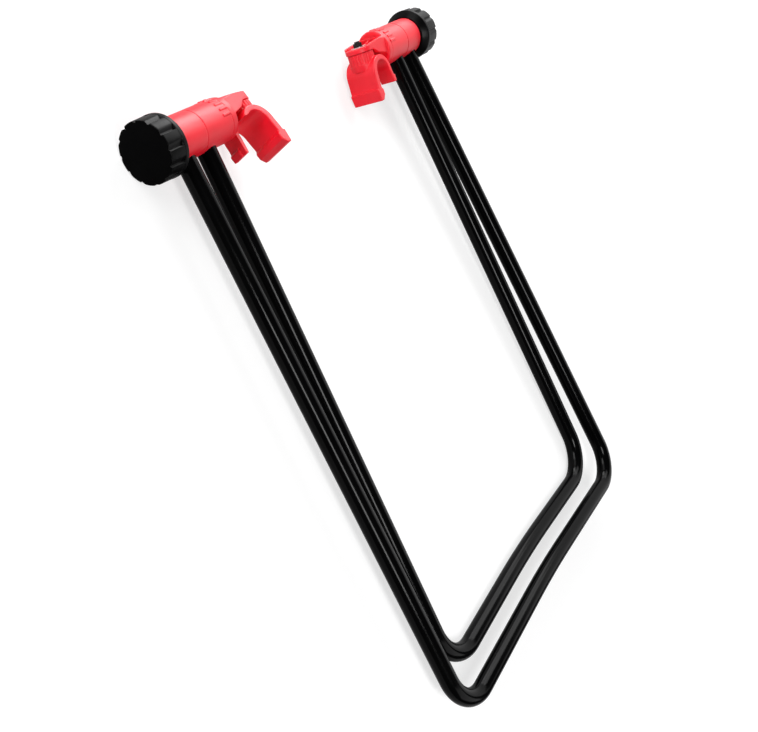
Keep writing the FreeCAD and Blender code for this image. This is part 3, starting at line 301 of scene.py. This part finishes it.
def eased_copy(name, node_name, pitch, passes, keep):
    """A moulding like its plain node, with its edges and inside corners eased."""
    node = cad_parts[node_name]
    joined = bmesh.new()
    joined.from_mesh(node.data)
    bmesh.ops.remove_doubles(joined, verts=joined.verts, dist=same_point)
    source = bpy.data.meshes.new(f"{name}_source")
    joined.to_mesh(source)
    joined.free()
    rough = bpy.data.objects.new(f"{name}_rough", source)
    scene.collection.objects.link(rough)
    rough.matrix_world = node.matrix_world
    wrap = rough.modifiers.new("wrap", "REMESH")
    wrap.mode = "VOXEL"
    wrap.voxel_size = pitch
    ease = rough.modifiers.new("ease", "SMOOTH")
    ease.factor = 0.5
    ease.iterations = passes
    thin = rough.modifiers.new("thin", "DECIMATE")
    thin.ratio = keep
    bpy.context.view_layer.update()
    evaluated = rough.evaluated_get(bpy.context.evaluated_depsgraph_get())
    mesh = bpy.data.meshes.new_from_object(evaluated)
    mesh.transform(rough.matrix_world)
    bpy.data.objects.remove(rough)
    for polygon in mesh.polygons:
        polygon.use_smooth = True
    mesh.materials.clear()
    piece = bpy.data.objects.new(name, mesh)
    scene.collection.objects.link(piece)
    return piece


hub_pitch = 0.00030
hub_passes = 4
hub_keep = 0.30
for side in ("left", "right"):
    for frame_name in ("outer", "inner"):
        hub = eased_copy(f"{frame_name}_barrel_{side}", f"{frame_name}_hub_{side}",
                         hub_pitch, hub_passes, hub_keep)
        hub.data.materials.append(plastic)
        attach(hub, f"{frame_name}_frame")
        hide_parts(f"{frame_name}_hub_{side}")

# Hook arms and hooks
# Red plastic mouldings with generous rounds. An arm's collar turns on the end of its
# barrel, and its two walls run out to a round-nosed plate. The hook's ribbed boss is
# bolted against that plate, and its open jaw carries the bicycle.
softened = (
    ("arm", "hook_arm", "arm", 0.00030, 5, 0.30),
    ("hook", "hook", "hook", 0.00030, 8, 0.30),
)
for side in ("left", "right"):
    for piece_name, node_prefix, body_prefix, pitch, passes, keep in softened:
        piece = eased_copy(f"{piece_name}_{side}", f"{node_prefix}_{side}", pitch, passes, keep)
        piece.data.materials.append(plastic)
        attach(piece, f"{body_prefix}_{side}")
        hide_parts(f"{node_prefix}_{side}")

# Knobs
# Satin black plastic mouldings, screwed in by hand on a stud through the barrel: a smooth
# rim next to the barrel, twelve equal saw-tooth lobes with one steep side each, and a
# slightly domed face.
lobe_count = 12
lobe_phase = 43.0
lobe_step = 0.0017
lobe_flat = 0.0015
lobe_ramp = 0.0036
body_radius = 0.0237
lobe_from = 0.1993
lobe_eases = (-0.24, -0.12, 0.0, 0.12, 0.24)
corner_steps = 4
mm_per_metre = 1000.0
weld_reach = 0.00001
lobes_end = 0.2146
face_starts = 0.2150
knob_profile = (
    (0.2035, 0.0, 0.0),
    (0.2035, 0.0044, 0.0),
    (0.1908, 0.0044, 0.0),
    (0.1908, 0.0186, 0.0006),
    (0.1956, 0.0239, 0.0008),
    (0.1992, 0.0239, 0.0003),
    (0.1994, 0.0237, 0.0001),
    (0.2150, 0.0234, 0.0009),
    (0.2155, 0.0175, 0.0040),
    (0.2160, 0.0, 0.0),
)
rim_places = (-0.8, -0.6, -0.4, -0.3, -0.2, -0.1, 0.0, 0.1, 0.2, 0.3, 0.45, 0.65, 0.9, 1.15,
              1.4, 1.7, 2.1, 2.6, 3.2, 3.8, 4.3, 4.7, 5.0, 5.4, 6.0, 7.0, 8.2, 9.4, 10.5)

satin = bpy.data.materials.new("black_plastic")
satin.use_nodes = True
tree = satin.node_tree
shader = tree.nodes["Principled BSDF"]
coordinates = tree.nodes.new("ShaderNodeTexCoord")
parts = tree.nodes.new("ShaderNodeSeparateXYZ")
outward = tree.nodes.new("ShaderNodeMath")
outward.operation = "ABSOLUTE"
polish = tree.nodes.new("ShaderNodeMapRange")
polish.inputs["From Min"].default_value = lobes_end
polish.inputs["From Max"].default_value = face_starts
polish.inputs["To Min"].default_value = 0.10
polish.inputs["To Max"].default_value = 0.02
tree.links.new(coordinates.outputs["Object"], parts.inputs["Vector"])
tree.links.new(parts.outputs["X"], outward.inputs[0])
tree.links.new(outward.outputs["Value"], polish.inputs["Value"])
tree.links.new(polish.outputs["Result"], shader.inputs["Specular IOR Level"])
grain = tree.nodes.new("ShaderNodeTexNoise")
grain.inputs["Scale"].default_value = 1500.0
bump = tree.nodes.new("ShaderNodeBump")
bump.inputs["Strength"].default_value = 0.15
bump.inputs["Distance"].default_value = 0.0002
cloud = tree.nodes.new("ShaderNodeTexNoise")
cloud.inputs["Scale"].default_value = 60.0
tone = tree.nodes.new("ShaderNodeValToRGB")
tone.color_ramp.elements[0].color = (0.0006, 0.0006, 0.0007, 1.0)
tone.color_ramp.elements[1].color = (0.0016, 0.0016, 0.0017, 1.0)
gloss = tree.nodes.new("ShaderNodeMapRange")
gloss.inputs["To Min"].default_value = 0.26
gloss.inputs["To Max"].default_value = 0.38
tree.links.new(coordinates.outputs["Object"], grain.inputs["Vector"])
tree.links.new(coordinates.outputs["Object"], cloud.inputs["Vector"])
tree.links.new(grain.outputs["Fac"], bump.inputs["Height"])
tree.links.new(bump.outputs["Normal"], shader.inputs["Normal"])
tree.links.new(cloud.outputs["Fac"], tone.inputs["Fac"])
tree.links.new(cloud.outputs["Fac"], gloss.inputs["Value"])
tree.links.new(tone.outputs["Color"], shader.inputs["Base Color"])
tree.links.new(gloss.outputs["Result"], shader.inputs["Roughness"])


def eased(outline):
    """Points of an outline whose corners are rounded by the length each one gives."""
    points = [Vector(outline[0][:2])]
    for before, corner, after in zip(outline, outline[1:], outline[2:]):
        here = Vector(corner[:2])
        back = (Vector(before[:2]) - here).normalized() * corner[2]
        ahead = (Vector(after[:2]) - here).normalized() * corner[2]
        if corner[2] == 0.0:
            points.append(here)
            continue
        for step in range(corner_steps + 1):
            share = step / corner_steps
            points.append(here + back * (1 - share) ** 2 + ahead * share ** 2)
    points.append(Vector(outline[-1][:2]))
    return points


def lobe_depth(place):
    """How far the rim is cut back at a place along it, with its corners eased."""
    total = 0.0
    for shift in lobe_eases:
        along = (place + shift) / mm_per_metre
        if 0.0 < along < lobe_flat + lobe_ramp:
            total += lobe_step * min(1.0, (lobe_flat + lobe_ramp - along) / lobe_ramp)
    return total / len(lobe_eases)


sector = bmesh.new()
sector_end = rim_places[0] + math.tau * body_radius * mm_per_metre / lobe_count
rows = []
for x, radius in eased(knob_profile):
    row = []
    for place in (*rim_places, sector_end):
        angle = place / (body_radius * mm_per_metre)
        reach = radius
        if x > lobe_from:
            reach = min(radius, body_radius - lobe_depth(place))
        row.append(sector.verts.new((x, reach * math.cos(angle), reach * math.sin(angle))))
    rows.append(row)
for row, following in zip(rows, rows[1:]):
    for step in range(len(row) - 1):
        face = sector.faces.new((row[step], row[step + 1], following[step + 1], following[step]))
        face.smooth = True
bmesh.ops.remove_doubles(sector, verts=sector.verts, dist=same_point)
bmesh.ops.transform(sector, verts=sector.verts,
                    matrix=Matrix.Rotation(math.radians(lobe_phase), 4, "X"))
sector_mesh = bpy.data.meshes.new("knob_sector")
sector.to_mesh(sector_mesh)
sector.free()

lobes = bpy.data.node_groups.new("knob_lobes", "GeometryNodeTree")
lobes.interface.new_socket("Sector", in_out="INPUT", socket_type="NodeSocketGeometry")
count_socket = lobes.interface.new_socket("Lobes", in_out="INPUT", socket_type="NodeSocketInt")
weld_socket = lobes.interface.new_socket("Weld", in_out="INPUT", socket_type="NodeSocketFloat")
skin_socket = lobes.interface.new_socket("Skin", in_out="INPUT", socket_type="NodeSocketMaterial")
lobes.interface.new_socket("Knob", in_out="OUTPUT", socket_type="NodeSocketGeometry")
given = lobes.nodes.new("NodeGroupInput")
result = lobes.nodes.new("NodeGroupOutput")
lobe_points = lobes.nodes.new("GeometryNodePoints")
place_each = lobes.nodes.new("GeometryNodeInstanceOnPoints")
order = lobes.nodes.new("GeometryNodeInputIndex")
turn_share = lobes.nodes.new("ShaderNodeMath")
turn_share.operation = "DIVIDE"
full_turn = lobes.nodes.new("ShaderNodeMath")
full_turn.operation = "MULTIPLY"
full_turn.inputs[1].default_value = math.tau
spin = lobes.nodes.new("FunctionNodeAxisAngleToRotation")
spin.inputs["Axis"].default_value = (1.0, 0.0, 0.0)
join = lobes.nodes.new("GeometryNodeRealizeInstances")
weld = lobes.nodes.new("GeometryNodeMergeByDistance")
dress = lobes.nodes.new("GeometryNodeSetMaterial")
lobes.links.new(given.outputs["Lobes"], lobe_points.inputs["Count"])
lobes.links.new(lobe_points.outputs["Points"], place_each.inputs["Points"])
lobes.links.new(given.outputs["Sector"], place_each.inputs["Instance"])
lobes.links.new(order.outputs["Index"], turn_share.inputs[0])
lobes.links.new(given.outputs["Lobes"], turn_share.inputs[1])
lobes.links.new(turn_share.outputs["Value"], full_turn.inputs[0])
lobes.links.new(full_turn.outputs["Value"], spin.inputs["Angle"])
lobes.links.new(spin.outputs["Rotation"], place_each.inputs["Rotation"])
lobes.links.new(place_each.outputs["Instances"], join.inputs["Geometry"])
lobes.links.new(join.outputs["Geometry"], weld.inputs["Geometry"])
lobes.links.new(given.outputs["Weld"], weld.inputs["Distance"])
lobes.links.new(weld.outputs["Geometry"], dress.inputs["Geometry"])
lobes.links.new(given.outputs["Skin"], dress.inputs["Material"])
lobes.links.new(dress.outputs["Geometry"], result.inputs["Knob"])

for side, half_turn in (("left", 180.0), ("right", 0.0)):
    rough = bpy.data.objects.new(f"knob_{side}_rough", sector_mesh.copy())
    scene.collection.objects.link(rough)
    ring = rough.modifiers.new("ring", "NODES")
    ring.node_group = lobes
    ring[count_socket.identifier] = lobe_count
    ring[weld_socket.identifier] = weld_reach
    ring[skin_socket.identifier] = satin
    bpy.context.view_layer.update()
    evaluated = rough.evaluated_get(bpy.context.evaluated_depsgraph_get())
    mesh = bpy.data.meshes.new_from_object(evaluated)
    rough.modifiers.remove(ring)
    bpy.data.objects.remove(rough)
    face_out = Matrix.Rotation(math.radians(half_turn), 4, "Y")
    mesh.transform(Matrix.Translation(barrel_place) @ face_out)
    knob = bpy.data.objects.new(f"lobed_knob_{side}", mesh)
    scene.collection.objects.link(knob)
    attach(knob, f"knob_{side}")
    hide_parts(f"knob_{side}")

# Hook bolts and nuts
# Each hook swivels on a small blackened steel bolt, whose hexagon head is moulded into
# the hook and whose nut is turned down on the far side of the arm.
blackened = bpy.data.materials.new("blackened_steel")
blackened.use_nodes = True
tree = blackened.node_tree
shader = tree.nodes["Principled BSDF"]
shader.inputs["Metallic"].default_value = 0.7
coordinates = tree.nodes.new("ShaderNodeTexCoord")
cloud = tree.nodes.new("ShaderNodeTexNoise")
cloud.inputs["Scale"].default_value = 220.0
cloud.inputs["Detail"].default_value = 5.0
tone = tree.nodes.new("ShaderNodeValToRGB")
tone.color_ramp.elements[0].color = (0.010, 0.010, 0.011, 1.0)
tone.color_ramp.elements[1].color = (0.030, 0.029, 0.028, 1.0)
gloss = tree.nodes.new("ShaderNodeMapRange")
gloss.inputs["To Min"].default_value = 0.35
gloss.inputs["To Max"].default_value = 0.55
grain = tree.nodes.new("ShaderNodeTexNoise")
grain.inputs["Scale"].default_value = 2200.0
bump = tree.nodes.new("ShaderNodeBump")
bump.inputs["Strength"].default_value = 0.15
bump.inputs["Distance"].default_value = 0.0001
tree.links.new(coordinates.outputs["Object"], cloud.inputs["Vector"])
tree.links.new(coordinates.outputs["Object"], grain.inputs["Vector"])
tree.links.new(cloud.outputs["Fac"], tone.inputs["Fac"])
tree.links.new(cloud.outputs["Fac"], gloss.inputs["Value"])
tree.links.new(grain.outputs["Fac"], bump.inputs["Height"])
tree.links.new(tone.outputs["Color"], shader.inputs["Base Color"])
tree.links.new(gloss.outputs["Result"], shader.inputs["Roughness"])
tree.links.new(bump.outputs["Normal"], shader.inputs["Normal"])
for node_name in ("hook_bolt_left", "hook_bolt_right", "hook_nut_left", "hook_nut_right"):
    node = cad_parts[node_name]
    node.data.materials.clear()
    node.data.materials.append(blackened)

# Washers, screws, studs and stud nuts
# Bright zinc plated steel. A washer lies under each hook's nut and under each knob, a
# screw holds each tube end in its hub, and the stud moulded into a knob runs through the
# barrel into the nut that is moulded into the arm.
zinc = bpy.data.materials.new("bright_zinc")
zinc.use_nodes = True
tree = zinc.node_tree
shader = tree.nodes["Principled BSDF"]
shader.inputs["Metallic"].default_value = 1.0
coordinates = tree.nodes.new("ShaderNodeTexCoord")
spangle = tree.nodes.new("ShaderNodeTexVoronoi")
spangle.inputs["Scale"].default_value = 420.0
tone = tree.nodes.new("ShaderNodeValToRGB")
tone.color_ramp.elements[0].color = (0.78, 0.79, 0.80, 1.0)
tone.color_ramp.elements[1].color = (0.92, 0.92, 0.91, 1.0)
wear = tree.nodes.new("ShaderNodeTexNoise")
wear.inputs["Scale"].default_value = 300.0
wear.inputs["Detail"].default_value = 4.0
gloss = tree.nodes.new("ShaderNodeMapRange")
gloss.inputs["To Min"].default_value = 0.25
gloss.inputs["To Max"].default_value = 0.45
bump = tree.nodes.new("ShaderNodeBump")
bump.inputs["Strength"].default_value = 0.10
bump.inputs["Distance"].default_value = 0.0001
tree.links.new(coordinates.outputs["Object"], spangle.inputs["Vector"])
tree.links.new(coordinates.outputs["Object"], wear.inputs["Vector"])
tree.links.new(spangle.outputs["Color"], tone.inputs["Fac"])
tree.links.new(wear.outputs["Fac"], gloss.inputs["Value"])
tree.links.new(wear.outputs["Fac"], bump.inputs["Height"])
tree.links.new(tone.outputs["Color"], shader.inputs["Base Color"])
tree.links.new(gloss.outputs["Result"], shader.inputs["Roughness"])
tree.links.new(bump.outputs["Normal"], shader.inputs["Normal"])
plated = ("outer_tube_screw", "inner_tube_screw", "clamp_washer", "knob_stud", "stud_nut",
          "hook_washer")
for side in ("left", "right"):
    for node_prefix in plated:
        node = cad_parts[f"{node_prefix}_{side}"]
        node.data.materials.clear()
        node.data.materials.append(zinc)
